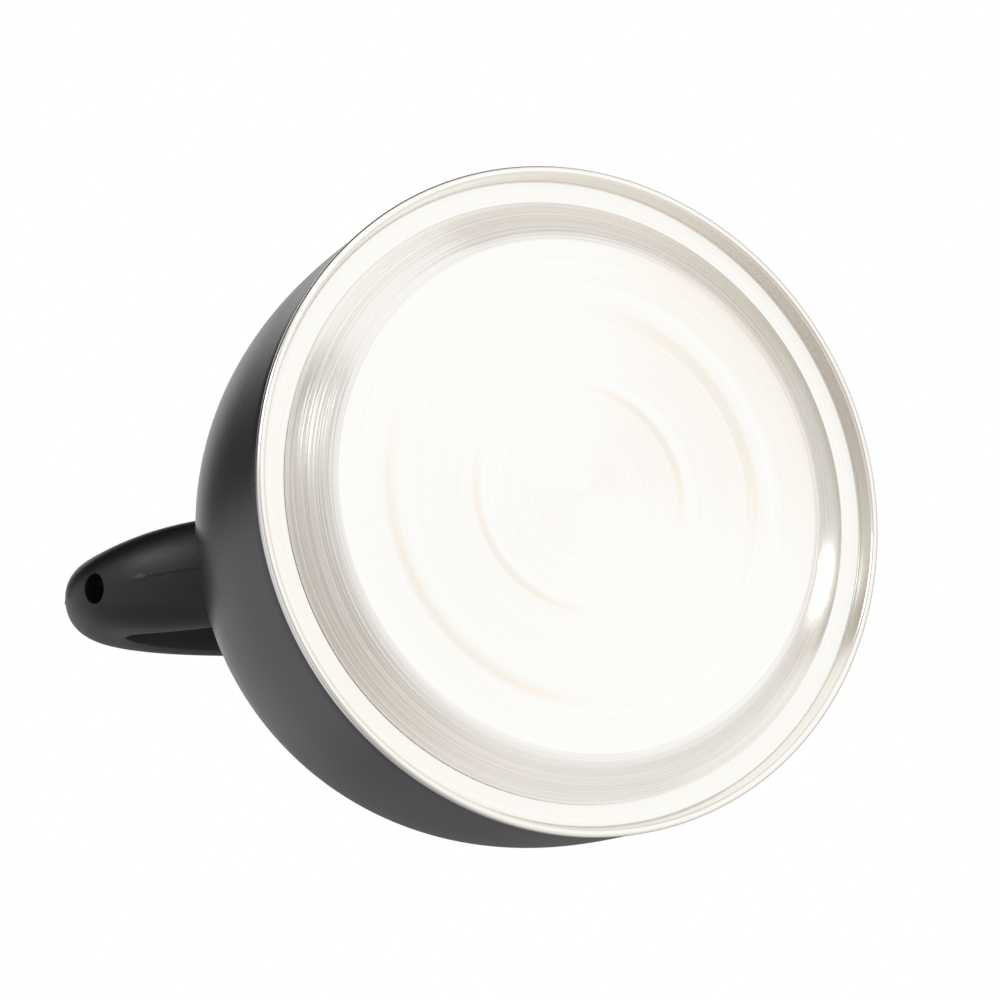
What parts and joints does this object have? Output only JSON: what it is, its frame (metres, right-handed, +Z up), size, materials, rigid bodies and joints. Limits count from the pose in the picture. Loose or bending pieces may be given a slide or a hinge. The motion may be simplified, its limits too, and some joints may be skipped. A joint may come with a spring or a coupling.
{
  "type": "whistling kettle",
  "caption": "Stove kettle with a capsule base, domed body, arched handle with a hanging hole, lift-out lid, and a spout whose whistle flap is opened by a trigger.",
  "frame": {"origin": "centre of the base disc's standing face", "axes": "+Z up along the body's axis; +X towards the spout, so that the handle's rear corner is at -X; the XZ plane is the mirror plane"},
  "size_m": [0.2522, 0.2006, 0.221],
  "materials": {
    "satin_black_paint": "satin black paint",
    "stainless_steel": "turned and brushed in circles",
    "aluminium": "plain",
    "black_bakelite": "finely grained moulding",
    "grey_silicone": "smooth"
  },
  "bodies": {
    "kettle": {"body_shell": "satin_black_paint", "base_pan": "stainless_steel", "base_disc": "stainless_steel", "heat_core": "aluminium", "mouth_ring": "stainless_steel", "spout_tube": "satin_black_paint", "spout_collar": "black_bakelite", "flap_pin": "stainless_steel", "handle": "black_bakelite", "front_bracket": "stainless_steel", "rear_bracket": "stainless_steel", "front_screw": "stainless_steel", "rear_screw": "stainless_steel", "trigger_pin": "stainless_steel", "trigger_spring": "stainless_steel"},
    "lid": {"lid_shell": "satin_black_paint", "lid_skirt": "stainless_steel", "lid_knob": "black_bakelite", "knob_washer": "stainless_steel", "knob_screw": "stainless_steel"},
    "trigger": {"trigger": "black_bakelite", "link_pin_rear": "stainless_steel"},
    "link": {"link_rod": "stainless_steel"},
    "flap": {"whistle_cap": "black_bakelite", "whistle_seal": "grey_silicone", "whistle_plate_inner": "stainless_steel", "whistle_plate_outer": "stainless_steel", "link_pin_front": "stainless_steel"}
  },
  "joints": [
    {"name": "lid_lift", "type": "slide", "parent": "kettle", "child": "lid", "axis": [0, 0, 1], "range_m": [0, 0.022]},
    {"name": "trigger_pull", "type": "hinge", "parent": "kettle", "child": "trigger", "pos_m": [0.05775, 0, 0.18002], "axis": [0, 1, 0], "range_deg": [0, 20], "stiffness_Nm_per_rad": 0.2, "springref_deg": -17.19},
    {"name": "link_swing", "type": "hinge", "parent": "trigger", "child": "link", "pos_m": [0.05925, 0, 0.16008], "axis": [0, -1, 0], "range_deg": [0, 20]},
    {"name": "flap_open", "type": "hinge", "parent": "kettle", "child": "flap", "pos_m": [0.09865, 0, 0.1468], "axis": [0, -1, 0], "range_deg": [0, 45]}
  ],
  "couplings": [
    {"joint": "link_swing", "follows": "trigger_pull", "ratio": 1},
    {"joint": "flap_open", "follows": "trigger_pull", "ratio": 2.25}
  ]
}
